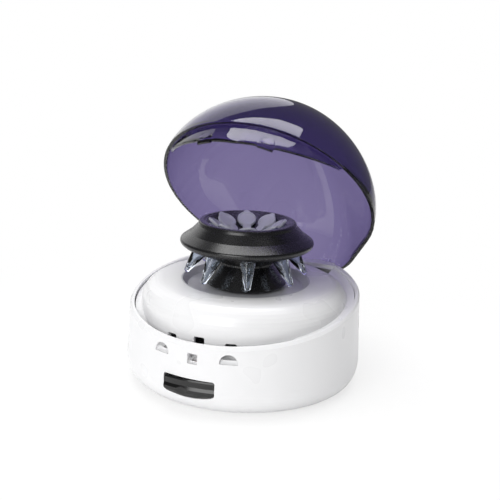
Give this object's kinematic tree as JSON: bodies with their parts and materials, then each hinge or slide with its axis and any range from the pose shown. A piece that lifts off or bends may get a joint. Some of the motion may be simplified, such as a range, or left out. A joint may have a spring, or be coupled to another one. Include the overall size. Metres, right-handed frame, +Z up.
{
  "type": "mini centrifuge",
  "caption": "Palm-size bench centrifuge for microtubes, with a round white base, a tilted-tube rotor and a hinged tinted dome lid standing open.",
  "frame": {"origin": "where the rotor's axis meets the surface that the feet stand on", "axes": "+Z up along the rotor's axis, -Y towards the front with the power switch, +Y towards the lid's hinge, +X to the right seen from the front"},
  "size_m": [0.153, 0.1835, 0.1801],
  "materials": {
    "housing_white": "smooth gloss ABS",
    "plate_grey": "fine matte",
    "rubber_black": "matte rubber",
    "screw_steel": "zinc plated",
    "bowl_grey": "satin moulded",
    "pin_steel": "ground",
    "washer_black": "hard rubber",
    "motor_steel": "drawn steel",
    "plate_zinc": "zinc plated sheet",
    "board_green": "solder mask",
    "switch_black": "moulded black",
    "rocker_black": "polished black",
    "plunger_red": "moulded",
    "contact_brass": "plain",
    "dome_tinted": "clear tinted polycarbonate",
    "yoke_white": "smooth",
    "rotor_black": "satin black",
    "tube_clear": "clear polypropylene",
    "cap_frosted": "frosted polypropylene"
  },
  "bodies": {
    "base": {"base_shell": "housing_white", "bottom_plate": "plate_grey", "rubber_feet": "rubber_black", "bottom_screws": "screw_steel", "top_cover": "housing_white", "bowl_liner": "bowl_grey", "hinge_pin": "pin_steel", "friction_washers": "washer_black", "motor_can": "motor_steel", "motor_plate": "plate_zinc", "rubber_mounts": "rubber_black", "mount_screws": "screw_steel", "motor_screws": "screw_steel", "control_board": "board_green", "switch_body": "switch_black", "rocker_pin": "pin_steel", "lid_switch": "switch_black", "power_inlet": "switch_black", "inlet_pin": "contact_brass"},
    "lid": {"lid_dome": "dome_tinted", "hinge_yoke": "yoke_white", "yoke_screws": "screw_steel"},
    "rotor": {"motor_shaft": "pin_steel", "rotor": "rotor_black", "rotor_nut": "rotor_black", "tube_2": "tube_clear", "tube_cap_2": "cap_frosted", "tube_3": "tube_clear", "tube_cap_3": "cap_frosted", "tube_4": "tube_clear", "tube_cap_4": "cap_frosted", "tube_5": "tube_clear", "tube_cap_5": "cap_frosted", "tube_6": "tube_clear", "tube_cap_6": "cap_frosted", "tube_7": "tube_clear", "tube_cap_7": "cap_frosted", "tube_8": "tube_clear", "tube_cap_8": "cap_frosted"},
    "lift_tube": {"tube_1": "tube_clear", "tube_cap_1": "cap_frosted"},
    "rocker": {"power_rocker": "rocker_black"},
    "plunger": {"lid_switch_plunger": "plunger_red"}
  },
  "joints": [
    {"name": "lid_hinge", "type": "hinge", "parent": "base", "child": "lid", "pos_m": [0, 0.067, 0.0564], "axis": [-1, 0, 0], "range_deg": [-57.4, 0]},
    {"name": "rotor_spin", "type": "hinge", "parent": "base", "child": "rotor", "pos_m": [0, 0, 0.08], "axis": [0, 0, 1], "continuous": true},
    {"name": "tube_lift", "type": "slide", "parent": "rotor", "child": "lift_tube", "axis": [-0.5128, 0.1836, 0.8387], "range_m": [0, 0.042]},
    {"name": "rocker_tilt", "type": "hinge", "parent": "base", "child": "rocker", "pos_m": [-0.0025, -0.07, 0.0164], "axis": [0, 0, -1], "range_deg": [0, 8]},
    {"name": "plunger_press", "type": "slide", "parent": "base", "child": "plunger", "axis": [0, 0, -1], "range_m": [0, 0.0012], "stiffness_N_per_m": 200, "springref_m": -0.001}
  ]
}
